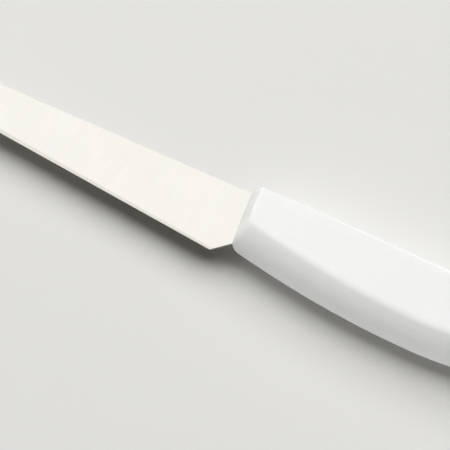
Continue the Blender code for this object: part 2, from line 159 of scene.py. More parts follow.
# How finely curves are cut up
NOSE_STEPS = 28
BELLY_STEPS = 150
BUTT_STEPS = 24
BACK_STEPS = 110
TRACE_STEPS = 600
CORNER_STEPS = 14
CROWN_STEPS = 14
CROWN_SPACING = 1.4
FILLET_STEPS = 9
ARC_STEPS = 24
TIP_STEPS = 10
SWEEP_STEPS = 48
EDGE_STEPS = 24
BEVEL_SKIP = SWEEP_STEPS // 3  # the bevel starts this many points down the edge's sweep
CROSSING_ROUNDS = 30
MITRE_LIMIT = 0.5              # an outline's corners move at most 1 / this further
SMOOTH_LIMIT = math.radians(30.0)

# Slots on the blade
SATIN, EDGE, BACK = range(3)
PLANE_LEAN = math.cos(math.radians(4.0))     # the ground faces lie within this of level
EDGE_LEAN = math.cos(math.radians(40.0))     # the edge bevel within this, the walls beyond

# Steel finish, in which a level is a share of the colour's own
STEEL_PATCH = 0.009            # size of the patches in its tone
STEEL_DRIFT = 0.8
PATCH_LEVEL = 0.96
WARM_TINT = (0.995, 0.968, 0.920)
BAND_SHARE = 0.6
LINES_IN_BAND = 30
LINE_SHARE = 0.5
LINE_LEVEL = 0.89
STEEL_MARKS = 0.66             # sparseness of the marks of handling
MARK_DULLS = 0.12
ROUGHNESS_SWING = 0.05

# Plastic finish
PLASTIC_PATCH = 0.035
PLASTIC_DRIFT = 0.4
DRIFT_DULLS = 0.03
FLOW_SPACING = 0.0005          # streaks that the flowing plastic leaves along the handle
FLOW_LENGTH = 0.018
FLOW_LINES_IN_BAND = 8
FLOW_SHARE = 0.5
PLASTIC_MARKS = 0.75
PLASTIC_MARK_WIDTH = 0.0003
MARK_POLISHES = 0.1
PLASTIC_IOR = 1.49
GLOW_COLOUR = (1.0, 0.95, 0.85)
GLOW_DEPTH = 0.0035

# Shared effects
NOISE_RANGE = (0.3, 0.7)       # nearly all of a noise's values lie between these
PEBBLE_SCALE = 0.6
MARK_ANGLES = (0.3, 1.2, 2.5)
COLUMN = 220                   # spacing of the node editor
ROW = 170
FLOAT = "NodeSocketFloat"
COLOUR = "NodeSocketColor"

# Stage
LAMP_CELLS = 24
AMBIENT_TINT = (1.0, 0.86, 0.66)
FLOOR_SIZE = 8.0
FLOOR_CELLS = 4
FLOOR_ROUGHNESS = 0.9
FLOOR_GLOSS = 0.1
LOOK_AT = Vector((-0.0013, -0.0131, 0.0))
LOOK_RISE = 0.00047
SENSOR_WIDTH = 36.0
CLIP_START = 0.01
CLIP_END = 20.0

Station = namedtuple("Station", "mid flat crown fillet reach")
Steel = namedtuple("Steel", "name colour duller turn spacing length depth")
Plastic = namedtuple("Plastic", "name colour tint duller coarser depth glow")
Lamp = namedtuple("Lamp", "name place width height level")

# A finish's colour is a setting's name, and duller is what it adds to the set roughness. The
# turn is that of the grinding lines, in degrees. The blade's are in the order of its slots.
BLADE_FINISHES = [
    Steel("satin_steel", "steel_colour", 0.0, 4.0, 0.00011, 0.012, 0.000002),
    # The ground edge's colour is set darker than the satin faces' as painted shade: it stands in
    # for the darker reflection that the bevel catches.
    Steel("ground_edge_steel", "edge_colour", 0.04, -24.0, 0.00016, 0.006, 0.000003),
    Steel("blanked_back_steel", "steel_colour", 0.08, 90.0, 0.00014, 0.008, 0.000003),
]
# The tint is a share of the colour, coarser a share of the set grain, and glow a weight.
HANDLE_FINISH = Plastic("white_moulding", "plastic_colour", 0.955, 0.0, 1.0, 0.000032, 0.15)
CORE_FINISH = Plastic("core_moulding", "core_colour", 0.92, 0.12, 2.0, 0.00001, 0.1)

# Each panel faces the knife from its place and takes its level from the setting named.
SOFT_LIGHTS = [
    Lamp("overhead_box", (-0.55, 0.72, 2.2), 6.0, 1.8, "key_level"),
    Lamp("side_panel", (-1.2, 2.15, 1.8), 5.0, 1.0, "side_level"),
    Lamp("front_panel", (1.5, -2.4, 0.08), 4.0, 0.16, "front_level"),
]
STEEL_CARD = Lamp("steel_card", (-0.7, 0.8, 2.2), 6.0, 4.4, "card_brightness")


def length_setting(name, description, default):
    """A length in the sidebar."""
    return FloatProperty(name=name, description=description, default=default, unit="LENGTH",
                         precision=5)


def angle_setting(name, description, degrees):
    """An angle in the sidebar."""
    return FloatProperty(name=name, description=description, default=math.radians(degrees),
                         unit="ROTATION")


def colour_setting(name, description, default):
    """A colour in the sidebar."""
    return FloatVectorProperty(name=name, description=description, default=default,
                               subtype="COLOR", min=0.0, max=1.0)


def level_setting(name, description, default, most=1.0, subtype="NONE"):
    """A plain number from 0 up in the sidebar."""
    return FloatProperty(name=name, description=description, default=default, min=0.0, max=most,
                         subtype=subtype)


class BladeSettings(bpy.types.PropertyGroup):
    """Sizes and finish of the steel blade."""
    thickness: length_setting("Thickness", "Stock of the blade along its back", 0.0012)
    reach: length_setting("Reach", "From the handle to the root of the fork", 0.112)
    heel_depth: length_setting("Heel depth", "From the back to the corner of the heel", 0.0218)
    edge_taper: angle_setting("Edge taper", "Angle at which the edge rises to the tip", 5.6)
    bevel_angle: angle_setting("Bevel angle", "Angle of each side of the ground edge", 20.0)
    fork_angle: angle_setting("Fork angle", "Direction of the points, from the butt's", 140.0)
    prong_length: length_setting("Prong length", "From the fork's root to its points", 0.0110)
    prong_spread: length_setting("Prong spread", "From the fork's middle to each point", 0.0042)
    edge_softness: length_setting("Edge softness", "Rounding of the back and the fork", 0.00012)
    steel_colour: colour_setting("Steel", "Colour of the satin faces", (0.622, 0.610, 0.586))
    # The bevel's colour is darker than the steel's as painted shade, standing in for the darker
    # reflection that it catches.
    edge_colour: colour_setting("Ground edge", "Colour of the bevel", (0.575, 0.562, 0.540))
    roughness: level_setting("Roughness", "Middle roughness of the satin finish", 0.34,
                             subtype="FACTOR")


class HandleSettings(bpy.types.PropertyGroup):
    """Sizes and finish of the moulded handle."""
    length: length_setting("Length", "From the blade's back to the butt", 0.1150)
    thickness: length_setting("Thickness", "Between the flats", HANDLE_HIGH.z - HANDLE_LOW.z)
    swell_depth: length_setting("Swell depth", "Belly's depth where it fills the palm", 0.0245)
    waist_rise: length_setting("Waist rise", "How much shallower the waist is", 0.0020)
    hook_drop: length_setting("Hook drop", "How far the hook hangs below the waist", 0.0013)
    nose_fillet: length_setting("Nose fillet", "Rounding of the nose to the flat", 0.0010)
    crease_start: length_setting("Crease start", "Rounding of the creases by the nose", 0.0009)
    belly_fillet: length_setting("Belly fillet", "Rounding of the belly to the flat", 0.0013)
    butt_fillet: length_setting("Butt fillet", "Rounding of the butt to the flat", 0.0024)
    back_fillet: length_setting("Back fillet", "Rounding of the back, down the side", 0.0019)
    back_reach: length_setting("Back reach", "Rounding of the back, over the flat", 0.0026)
    parting_ridge: length_setting("Parting ridge", "Height of the mould's hairline", 0.00003)
    plastic_colour: colour_setting("Plastic", "The white moulding", (0.883, 0.884, 0.873))
    core_colour: colour_setting("Core", "The first shot inside the handle", (0.62, 0.62, 0.60))
    grain_size: length_setting("Grain size", "Pitch of the fine mould texture", 0.00024)
    roughness: level_setting("Roughness", "Middle roughness of the matt moulding", 0.46,
                             subtype="FACTOR")


class StageSettings(bpy.types.PropertyGroup):
    """Floor, lamps and camera."""
    floor_colour: colour_setting("Floor", "Colour of the plain floor", (0.772, 0.766, 0.740))
    background_colour: colour_setting("Background", "What the camera and the steel see",
                                      (0.86, 0.86, 0.84))
    ambient_strength: level_setting("Ambient", "Light that the room itself adds", 0.008)
    key_level: level_setting("Key level", "Floor's light from the overhead box", 0.720, 2.0)
    side_level: level_setting("Side level", "Floor's light from behind the blade", 0.234, 2.0)
    front_level: level_setting("Front level", "Floor's light from the edge's side", 0.0094, 2.0)
    card_brightness: level_setting("Card brightness", "What a card adds in the steel", 0.74, 4.0)
    camera_elevation: angle_setting("Camera elevation", "Angle above the floor", 59.0)
    camera_turn: angle_setting("Camera turn", "Turn of the camera round the knife", 27.2)
    camera_distance: length_setting("Camera distance", "To the point that it looks at", 0.650)
    focal_length: FloatProperty(name="Focal length", description="In mm, on a 36 mm sensor",
                                default=183.04, min=1.0)


# Curves

def unit(angle):
    """Direction in the blade's plane at an angle from +X."""
    return Vector((math.cos(angle), math.sin(angle)))


def bezier(start, pull_start, pull_end, end, steps):
    """Points along a cubic curve, both ends included."""
    points = []
    for i in range(steps + 1):
        t = i / steps
        s = 1 - t
        points.append(start * s**3 + pull_start * 3*s*s*t + pull_end * 3*s*t*t + end * t**3)
    return points


def corner_curve(start, corner, end, steps):
    """Points strictly between start and end on the parabola that rounds a corner."""
    points = []
    for i in range(1, steps):
        t = i / steps
        points.append(start * (1 - t)**2 + corner * 2*t*(1 - t) + end * t*t)
    return points


def arc(centre, radius, start, sweep, steps):
    """Points of an arc, both ends included."""
    return [centre + unit(start + sweep * i / steps) * radius for i in range(steps + 1)]


def hermite(x, start, end, start_slope=0.0, end_slope=0.0):
    """Height at x of the cubic through two points with the given slopes."""
    span = end[0] - start[0]
    t = (x - start[0]) / span
    return (start[1] * (2*t**3 - 3*t*t + 1) + start_slope * span * (t**3 - 2*t*t + t)
            + end[1] * (3*t*t - 2*t**3) + end_slope * span * (t**3 - t*t))


def offset_outline(points, distance):
    """A counter-clockwise outline moved outwards by a distance."""
    moved = []
    for i, point in enumerate(points):
        before = (point - points[i - 1]).normalized()
        after = (points[(i + 1) % len(points)] - point).normalized()
        normal = Vector((before.y + after.y, -before.x - after.x)).normalized()
        reach = max(normal.dot(Vector((after.y, -after.x))), MITRE_LIMIT)
        moved.append(point + normal * (distance / reach))
    return moved


def along(points, trim_start, trim_end, steps):
    """Evenly spaced points along a polyline with a length cut off each end."""
    lengths = [0.0]
    for a, b in zip(points, points[1:]):
        lengths.append(lengths[-1] + (b - a).length)
    spaced = []
    segment = 0
    for i in range(steps + 1):
        goal = trim_start + (lengths[-1] - trim_start - trim_end) * i / steps
        while segment < len(points) - 2 and lengths[segment + 1] < goal:
            segment += 1
        share = (goal - lengths[segment]) / (lengths[segment + 1] - lengths[segment])
        spaced.append(points[segment].lerp(points[segment + 1], share))
    return spaced


def join_sides(sides, corners):
    """A closed outline of its sides, each followed by its rounded corner."""
    points = []
    for side, corner, following in zip(sides, corners, sides[1:] + sides[:1]):
        points += side
        points += corner_curve(side[-1], corner, following[0], CORNER_STEPS)
    return points


def clamp(value, least=0.0, most=1.0):
    """A value kept between two others."""
    return min(max(value, least), most)


def bitten_side(start, end, side_y, centres, radius):
    """A long side from start to end in X with a half-round bite into it at each centre."""
    onwards = end > start
    points = [Vector((start, side_y(start)))]
    for centre in centres if onwards else centres[::-1]:
        middle = Vector((centre, side_y(centre)))
        points += arc(middle, radius, math.pi if onwards else 0.0, -math.pi, ARC_STEPS)
    return points + [Vector((end, side_y(end)))]


class HandleForm:
    """The handle's lines in plan and in section, worked out from its settings.

    A line is asked for in the middle plane (raised 0) or on the flat (raised 1).
    """

    def __init__(self, settings):
        self.size = settings
        self.half = settings.thickness / 2

    def back_y(self, x, raised=0):
        """The back, a long shallow arch."""
        return BACK_RISE - BACK_DROOP * (x / self.size.length)**2 - BACK_INSET * raised

    def belly_y(self, x, raised=0):
        """The belly: swell, waist and hook."""
        nose = (self.nose_x(-NOSE_DEPTH), -NOSE_DEPTH)
        swell = (SWELL_AT, -self.size.swell_depth)
        waist = (self.size.length - WAIST_FROM_BUTT, swell[1] + self.size.waist_rise)
        hook = (self.size.length - HOOK_FROM_BUTT, waist[1] - self.size.hook_drop)
        if x < SWELL_AT:
            y = hermite(x, nose, swell, start_slope=BELLY_LEAD_SLOPE)
        elif x < waist[0]:
            y = hermite(x, swell, waist)
        else:
            y = hermite(min(x, hook[0]), waist, hook)
        change = (BELLY_INSET_REAR - BELLY_INSET_FRONT) * clamp(x / SWELL_AT)
        return y + (BELLY_INSET_FRONT + change) * raised

    def nose_x(self, y, raised=0):
        """The nose's front line."""
        slant = NOSE_FLAT_SLANT if raised else NOSE_SLANT
        return NOSE_START + NOSE_INSET * raised - math.tan(slant) * y

    def butt_x(self, y, raised=0):
        """The butt's end line."""
        lean = math.tan(BUTT_SLANT) * (y + self.size.swell_depth / 2)
        return self.size.length - BUTT_INSET * raised - lean

    def outline(self, raised, belly_corner, butt_corner, back_corner):
        """Counter-clockwise: nose, belly, butt, back, each followed by its corner."""
        def crossing(end_x, side_y, x):
            """Where an end line x(y) meets a long side y(x)."""
            for _ in range(CROSSING_ROUNDS):
                x = end_x(side_y(x, raised), raised)
            return Vector((x, side_y(x, raised)))

        def traced(start, end, side_y):
            """A long side in fine steps, to be spaced out evenly."""
            line = [start.lerp(end, i / TRACE_STEPS) for i in range(TRACE_STEPS + 1)]
            return [Vector((p.x, side_y(p.x, raised))) for p in line]

        belly, back = self.belly_y, self.back_y
        nose_back, nose_belly = (crossing(self.nose_x, side, 0.0) for side in (back, belly))
        butt_back, butt_belly = (crossing(self.butt_x, side, self.size.length)
                                 for side in (back, belly))
        sides = [
            along([nose_back, nose_belly], back_corner, belly_corner, NOSE_STEPS),
            along(traced(nose_belly, butt_belly, belly), belly_corner, butt_corner, BELLY_STEPS),
            along([butt_belly, butt_back], butt_corner, butt_corner, BUTT_STEPS),
            along(traced(butt_back, nose_back, back), butt_corner, back_corner, BACK_STEPS),
        ]
        return join_sides(sides, [nose_belly, butt_belly, butt_back, nose_back])

    def grown_fillet(self, x, full):
        """The long sides' fillets are crisp at the nose and soften towards the palm."""
        growth = (full - self.size.crease_start) * clamp(x / FILLET_GROWTH)
        return self.size.crease_start + growth

    def stations(self):
        """Every station round the handle with its crown and its fillet's two reaches."""
        mid = self.outline(0, NOSE_BELLY_CORNER, BUTT_CORNER, NOSE_BACK_CORNER)
        flat = self.outline(1, FLAT_BELLY_CORNER, FLAT_BUTT_CORNER, FLAT_BACK_CORNER)
        crowns = spread_round([NOSE_CROWN, BELLY_CROWN, BUTT_CROWN, BACK_CROWN])
        size = self.size
        noses = spread_round([1.0, 0.0, 0.0, 0.0])

        def grown(back):
            fulls = spread_round([size.belly_fillet, size.belly_fillet, size.butt_fillet, back])
            return [size.nose_fillet * nose + self.grown_fillet(f.x, full) * (1 - nose)
                    for f, full, nose in zip(flat, fulls, noses)]

        rounds = [mid, flat, crowns, grown(size.back_fillet), grown(size.back_reach)]
        return [Station(*values) for values in zip(*rounds)]

    def profile(self, station):
        """One station's points from the parting line up the side and in over the flat."""
        inward = station.flat - station.mid
        inset = inward.length
        inward.normalize()
        ridge = self.size.parting_ridge
        top_slope = station.crown * inset / self.half
        fillet_z = self.half - station.fillet / math.hypot(1.0, top_slope)

        def side(z):
            return ridge + (inset - ridge) * (z / self.half)**station.crown

        line = [Vector((0.0, 0.0)), Vector((0.0, PARTING_HALF_WIDTH))]
        for i in range(CROWN_STEPS + 1):
            z = PARTING_FLANK + (fillet_z - PARTING_FLANK) * (i / CROWN_STEPS)**CROWN_SPACING
            line.append(Vector((side(z), z)))
        slope = station.crown * (side(fillet_z) - ridge) / fillet_z
        corner = Vector((line[-1].x + slope * (self.half - fillet_z), self.half))
        flat_end = Vector((corner.x + station.reach, self.half))
        line += corner_curve(line[-1], corner, flat_end, FILLET_STEPS) + [flat_end]
        line += [flat_end + Vector((border, 0.0)) for border in FLAT_BORDERS]
        return [(station.mid + inward * p.x).to_3d() + Vector((0, 0, p.y)) for p in line]


def spread_round(values):
    """A value for each station from one for each side, blended over the corners."""
    steps = [NOSE_STEPS, BELLY_STEPS, BUTT_STEPS, BACK_STEPS]
    spread = []
    for count, value, following in zip(steps, values, values[1:] + values[:1]):
        spread += [value] * (count + 1)
        spread += [value + (following - value) * i / CORNER_STEPS
                   for i in range(1, CORNER_STEPS)]
    return spread


class BladeForm:
    """The blade's and the tang's lines, worked out from the settings."""

    def __init__(self, settings, handle):
        self.size = settings
        self.handle = handle
        self.half = settings.thickness / 2

    def edge_y(self, x):
        """The straight cutting edge."""
        return -self.size.heel_depth + math.tan(self.size.edge_taper) * (-HEEL_SETBACK - x)

    def face_z(self, y):
        """Half the blade's thickness after the flat grind."""
        slope = (self.half - HEEL_STOCK / 2) / (self.size.heel_depth - GRIND_START)
        return self.half + slope * (y + GRIND_START)

    def tang_end(self):
        """The tang stops short of the core's rear wall."""
        return self.handle.size.length - CORE_BUTT_WALL - TANG_END_WALL

    def peg_holes(self):
        """Centres of the tang's holes."""
        first = CORE_START + PEG_HOLE_INSET
        last = self.tang_end() - PEG_HOLE_INSET
        pitch = (last - first) / (PEG_HOLES - 1)
        return [Vector((first + pitch * i, -TANG_TOP - TANG_DEPTH / 2))
                for i in range(PEG_HOLES)]

    def tip(self):
        """The fork: the edge's sweep, the back's sweep, and the points with their notch."""
        size = self.size
        axis = unit(size.fork_angle)
        across = unit(size.fork_angle + math.pi / 2)
        root = Vector((-size.reach, -FORK_DROP))
        ends = root + axis * size.prong_length
        edge_point = ends + across * size.prong_spread
        back_point = ends - across * size.prong_spread
        sweep_x = FORK_SWEEP - size.reach
        edge_start = Vector((sweep_x, self.edge_y(sweep_x)))
        edge_turn = edge_start - unit(-size.edge_taper) * FORK_SWEEP * EDGE_HOLD
        back_start = Vector((sweep_x, 0.0))
        back_turn = back_start - Vector((FORK_SWEEP * BACK_HOLD, 0.0))
        outer_edge = edge_point + across * PRONG_TIP_RADIUS
        outer_back = back_point - across * PRONG_TIP_RADIUS
        edge_pull = outer_edge - axis * size.prong_length * EDGE_PRONG_HOLD
        back_pull = outer_back - axis * size.prong_length * BACK_PRONG_HOLD
        edge_sweep = bezier(outer_edge, edge_pull, edge_turn, edge_start, SWEEP_STEPS)
        back_sweep = bezier(back_start, back_turn, back_pull, outer_back, SWEEP_STEPS)
        start = size.fork_angle - math.pi / 2
        back_tip = arc(back_point, PRONG_TIP_RADIUS, start, math.pi, TIP_STEPS)
        notch = arc(root, FORK_ROOT_RADIUS, start, -math.pi, ARC_STEPS)
        edge_tip = arc(edge_point, PRONG_TIP_RADIUS, start, math.pi, TIP_STEPS)
        return edge_sweep, back_sweep, back_tip[1:] + notch + edge_tip[:-1]

    def outline(self):
        """Blade and tang in one piece, counter-clockwise from the fork along the edge."""
        edge_sweep, back_sweep, fork = self.tip()
        heel = Vector((-HEEL_SETBACK, -self.size.heel_depth))
        tuck_y = -NOSE_DEPTH + NOSE_TUCK
        tuck = Vector((self.handle.nose_x(tuck_y), tuck_y))
        tang_floor = -TANG_TOP - TANG_DEPTH
        tang_root = tuck.x + tang_floor - tuck_y
        end = self.tang_end()
        holes = [centre.x for centre in self.peg_holes()]
        bites = [(a + b) / 2 for a, b in zip(holes, holes[1:])]
        lower = bitten_side(max(tang_root, TANG_SHOULDER), end - TANG_CORNER,
                            lambda x: tang_floor, bites, TANG_BITE_RADIUS)
        upper = bitten_side(end - TANG_CORNER, TANG_SHOULDER, lambda x: -TANG_TOP, bites,
                            TANG_BITE_RADIUS)
        end_low = Vector((end, tang_floor + TANG_CORNER))
        end_high = Vector((end, -TANG_TOP - TANG_CORNER))
        shoulder = Vector((TANG_SHOULDER - TANG_TOP, 0.0))
        outline = edge_sweep + [heel, tuck] + lower
        outline += corner_curve(lower[-1], Vector((end, tang_floor)), end_low, CORNER_STEPS)
        outline += [end_low, end_high]
        outline += corner_curve(end_high, Vector((end, -TANG_TOP)), upper[0], CORNER_STEPS)
        return outline + upper + [shoulder] + back_sweep + fork


def core_outline(handle):
    """The core follows the handle's back and belly at an even wall."""
    front = CORE_START
    rear = handle.size.length - CORE_BUTT_WALL
    pitch = (rear - front) / (CORE_BITES + 1)
    bites = [front + pitch * (i + 1) for i in range(CORE_BITES)]

    def low(x):
        return handle.belly_y(x) + CORE_BELLY_WALL

    def high(x):
        return handle.back_y(x) - CORE_BACK_WALL

    corners = [Vector((x, side_y(x))) for x, side_y in
               ((rear, low), (rear, high), (front, high), (front, low))]
    rise = Vector((0.0, CORE_CORNER))
    sides = [
        bitten_side(front + CORE_CORNER, rear - CORE_CORNER, low, bites, CORE_BITE_RADIUS),
        [corners[0] + rise, corners[1] - rise],
        bitten_side(rear - CORE_CORNER, front + CORE_CORNER, high, bites, CORE_BITE_RADIUS),
        [corners[2] - rise, corners[3] + rise],
    ]
    return join_sides(sides, corners)


def knife_origin(blade):
    """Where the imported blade's box says that its back meets the handle."""
    return Vector((BLADE_HIGH.x - blade.tang_end(), BLADE_LOW.y + blade.size.heel_depth,
                   (BLADE_LOW.z + BLADE_HIGH.z) / 2))


# Meshes

def add_object(name, data):
    """An object of its own in the scene."""
    made = bpy.data.objects.new(name, data)
    bpy.context.scene.collection.objects.link(made)
    return made


def add_turned(name, data, place, axes):
    """An object at a place, with its own X, Y and Z along the given axes."""
    made = add_object(name, data)
    made.location = place
    made.rotation_mode = "QUATERNION"
    made.rotation_quaternion = Matrix(axes).transposed().to_quaternion()
    return made


def add_shape(name, shape):
    """An object from a bmesh, which is spent."""
    mesh = bpy.data.meshes.new(name)
    shape.to_mesh(mesh)
    shape.free()
    return add_object(name, mesh)


def loft(name, rings, close_low=True):
    """A surface through closed rings of as many points each, closed at the top."""
    shape = bmesh.new()
    rows = [[shape.verts.new(point) for point in ring] for ring in rings]
    for low, high in zip(rows, rows[1:]):
        for i in range(len(low)):
            j = (i + 1) % len(low)
            shape.faces.new((low[i], low[j], high[j], high[i]))
    shape.faces.new(rows[-1])
    if close_low:
        shape.faces.new(rows[0][::-1])
        bmesh.ops.recalc_face_normals(shape, faces=shape.faces)
    return add_shape(name, shape)


def plate(name, outline, half_thickness):
    """A flat plate cut to an outline."""
    return loft(name, [[(p.x, p.y, z) for p in outline]
                       for z in (-half_thickness, half_thickness)])


def mirror_halves(target):
    """Make the lower half from the upper one."""
    mirror = target.modifiers.new("both faces", "MIRROR")
    mirror.use_axis = (False, False, True)
    mirror.merge_threshold = MIRROR_WELD


def cut(target, cutter):
    """Take the cutter out of the target."""
    boolean = target.modifiers.new("cut " + cutter.name, "BOOLEAN")
    boolean.operation = "DIFFERENCE"
    boolean.solver = "EXACT"
    boolean.object = cutter


def apply_modifiers(target, spent=()):
    """Keep the shape that the modifiers make, and put the spent cutters away."""
    bpy.context.view_layer.update()
    evaluated = target.evaluated_get(bpy.context.evaluated_depsgraph_get())
    shaped = bpy.data.meshes.new_from_object(evaluated)
    target.modifiers.clear()
    target.data = shaped
    for cutter in spent:
        bpy.data.objects.remove(cutter)


def require_closed(shape, name):
    """Stop with a plain message if a mesh has open or tangled edges."""
    loose = [edge for edge in shape.edges if len(edge.link_faces) != 2]
    if loose:
        raise RuntimeError(f"{name} isn't one closed surface: {len(loose)} edges are open")


def flat_grind_cutter(name, form, grow):
    """The wedges that a flat grind takes off both faces."""
    reach = form.size.reach + form.size.prong_length * 2
    deep = -form.size.heel_depth - form.size.thickness
    high = form.size.heel_depth / 2
    top = PUNCH_LENGTH / 2 + grow
    section = [(high, form.face_z(high) + grow), (high, top),
               (deep, top), (deep, form.face_z(deep) + grow)]
    wedge = loft(name, [[(x, y, z) for y, z in section] for x in (-reach, GRIND_END - grow)])
    mirror_halves(wedge)
    return wedge


def edge_bevel_cutter(name, form):
    """The wedges that the edge bevel takes off, swept along the edge and up to the fork."""
    kept = form.tip()[0][BEVEL_SKIP:]
    past_heel = form.size.thickness - HEEL_SETBACK
    start = kept[-1].x
    stops = [start + (past_heel - start) * i / EDGE_STEPS for i in range(1, EDGE_STEPS + 1)]
    path = kept + [Vector((x, form.edge_y(x))) for x in stops]
    rise = math.tan(form.size.bevel_angle)
    reach = form.half / rise * BEVEL_REACH
    rings = []
    for i, point in enumerate(path):
        heading = (path[min(i + 1, len(path) - 1)] - path[max(i - 1, 0)]).normalized()
        inward = Vector((-heading.y, heading.x))
        lift = EDGE_LAND + BEVEL_RUNOUT * max(1 - 2 * i / len(kept), 0.0)**2
        top = lift + reach * rise
        section = [(-reach, lift / 2), (-lift / 2 / rise, lift / 2), (reach, top), (-reach, top)]
        rings.append([(point + inward * n).to_3d() + Vector((0, 0, z)) for n, z in section])
    wedge = loft(name, rings)
    mirror_halves(wedge)
    return wedge


def peg_hole_cutter(name, form, shrink):
    """The punches for the tang's holes."""
    radius = PEG_HOLE_RADIUS - shrink
    shape = bmesh.new()
    for centre in form.peg_holes():
        bmesh.ops.create_cone(shape, cap_ends=True, segments=ARC_STEPS * 2, radius1=radius,
                              radius2=radius, depth=PUNCH_LENGTH,
                              matrix=Matrix.Translation(centre.to_3d()))
    return add_shape(name, shape)


def blade_blank(name, form, grow):
    """Blade and tang with the flat grind on both faces, and the cutters to put away."""
    solid = plate(name, offset_outline(form.outline(), grow), form.half + grow)
    cutters = [flat_grind_cutter(name + "_grind", form, grow),
               peg_hole_cutter(name + "_holes", form, grow)]
    for cutter in cutters:
        cut(solid, cutter)
    return solid, cutters


def sort_blade_faces(shape):
    """Give each face the slot of its finish: satin face, ground edge, or back and rim."""
    for face in shape.faces:
        lean = abs(face.normal.z)
        if lean > PLANE_LEAN:
            face.material_index = SATIN
        elif lean > EDGE_LEAN:
            face.material_index = EDGE
        else:
            face.material_index = BACK


def soften_rim(shape, softness):
    """Round the corner between the flat faces and the walls, as tumbling leaves it."""
    rim = [edge for edge in shape.edges if len(edge.link_faces) == 2
           and {face.material_index for face in edge.link_faces} == {SATIN, BACK}]
    bmesh.ops.bevel(shape, geom=rim, offset=softness, offset_type="OFFSET",
                    segments=RIM_SEGMENTS, profile=0.5, affect="EDGES", clamp_overlap=True,
                    material=BACK)


def set_blade_shading(shape):
    """Level faces shade flat, curved ones smooth, with a crisp line between finishes."""
    for face in shape.faces:
        face.smooth = face.material_index != SATIN
    for edge in shape.edges:
        kinds = {face.material_index for face in edge.link_faces}
        edge.smooth = len(kinds) == 1 and edge.calc_face_angle(0.0) < SMOOTH_LIMIT


def make_blade_mesh(form):
    """The blade with its grinds, fork and tang."""
    blade, cutters = blade_blank("steel_blade", form, 0.0)
    bevel = edge_bevel_cutter("edge_bevel", form)
    cut(blade, bevel)
    apply_modifiers(blade, cutters + [bevel])
    shape = bmesh.new()
    shape.from_mesh(blade.data)
    bmesh.ops.remove_doubles(shape, verts=shape.verts, dist=WELD_DISTANCE)
    shape.normal_update()
    sort_blade_faces(shape)
    soften_rim(shape, form.size.edge_softness)
    shape.normal_update()
    set_blade_shading(shape)
    require_closed(shape, "The blade")
    shape.to_mesh(blade.data)
    shape.free()
    return blade


def make_handle_mesh(handle, form):
    """The moulding, hollow for the core and slotted for the blade."""
    rings = list(zip(*[handle.profile(station) for station in handle.stations()]))
    moulding = loft("moulded_handle", rings, close_low=False)
    mirror_halves(moulding)
    cavity = plate("core_cavity", offset_outline(core_outline(handle), CORE_CLEARANCE),
                   CORE_THICKNESS / 2 + CORE_CLEARANCE)
    slot, cutters = blade_blank("blade_slot", form, BLADE_FIT)
    cut(moulding, cavity)
    cut(moulding, slot)
    apply_modifiers(moulding, cutters + [cavity, slot])
    moulding.data.shade_smooth()
    moulding.data.set_sharp_from_angle(angle=SMOOTH_LIMIT)
    shape = bmesh.new()
    shape.from_mesh(moulding.data)
    require_closed(shape, "The handle")
    shape.free()
    return moulding


def seat(piece, place):
    """Bake the piece's place into its mesh, which finer curves leave inside the CAD's box."""
    low, high = CAD_BOX
    for vertex in piece.data.vertices:
        vertex.co = [clamp(*values) for values in zip(vertex.co + place, low, high)]


# Node groups and materials

def feed(tree, node, inputs):
    """Link each of a node's inputs to a socket, or set the input's own value."""
    for key, value in inputs.items():
        if isinstance(value, bpy.types.NodeSocket):
            tree.links.new(value, node.inputs[key])
        else:
            node.inputs[key].default_value = value


def add_node(tree, kind, column, row, inputs, **settings):
    """A node at a column and row of the editor, with its settings and inputs."""
    node = tree.nodes.new(kind)
    node.location = (column * COLUMN, -row * ROW)
    for name, value in settings.items():
        setattr(node, name, value)
    feed(tree, node, inputs)
    return node


def calculate(tree, operation, column, row, first, second):
    """A Math node's result."""
    node = add_node(tree, "ShaderNodeMath", column, row, {0: first, 1: second},
                    operation=operation)
    return node.outputs[0]


def blend_colours(tree, column, row, share, first, second):
    """A colour mixed from two."""
    node = add_node(tree, "ShaderNodeMix", column, row, {0: share, 6: first, 7: second},
                    data_type="RGBA")
    return node.outputs[2]


def spread_value(tree, column, row, value, low=0.0, high=1.0, start=0.0, stop=1.0):
    """A value between start and stop spread between two others."""
    node = add_node(tree, "ShaderNodeMapRange", column, row,
                    {"Value": value, "From Min": start, "From Max": stop,
                     "To Min": low, "To Max": high})
    return node.outputs["Result"]


def new_group(name, inputs, outputs):
    """A shader node group with a vector and inputs by their defaults in, and sockets out."""
    tree = bpy.data.node_groups.new(name, "ShaderNodeTree")
    tree.interface.new_socket("Vector", in_out="INPUT", socket_type="NodeSocketVector")
    for label, default in inputs.items():
        kind = FLOAT if isinstance(default, float) else COLOUR
        made = tree.interface.new_socket(label, in_out="INPUT", socket_type=kind)
        made.default_value = default
    for label, kind in outputs.items():
        tree.interface.new_socket(label, in_out="OUTPUT", socket_type=kind)
    way_in = add_node(tree, "NodeGroupInput", 0, 0, {})
    return tree, way_in.outputs, add_node(tree, "NodeGroupOutput", 7, 0, {})


def scale_for(tree, row, size):
    """How many times a size goes into a metre."""
    return calculate(tree, "DIVIDE", 1, row, 1.0, size)


def turn_vector(tree, column, row, where, angle):
    """A vector turned about Z."""
    node = add_node(tree, "ShaderNodeVectorRotate", column, row,
                    {"Vector": where, "Angle": angle}, rotation_type="Z_AXIS")
    return node.outputs[0]


def stretched_noise(tree, row, where, scales, detail):
    """Noise with a scale of its own along X, Y and Z."""
    scale = add_node(tree, "ShaderNodeCombineXYZ", 2, row, dict(zip("XYZ", scales)))
    scaled = add_node(tree, "ShaderNodeVectorMath", 3, row, {0: where, 1: scale.outputs[0]},
                      operation="MULTIPLY")
    noise = add_node(tree, "ShaderNodeTexNoise", 4, row,
                     {"Vector": scaled.outputs[0], "Scale": 1.0, "Detail": detail})
    return noise.outputs[0]


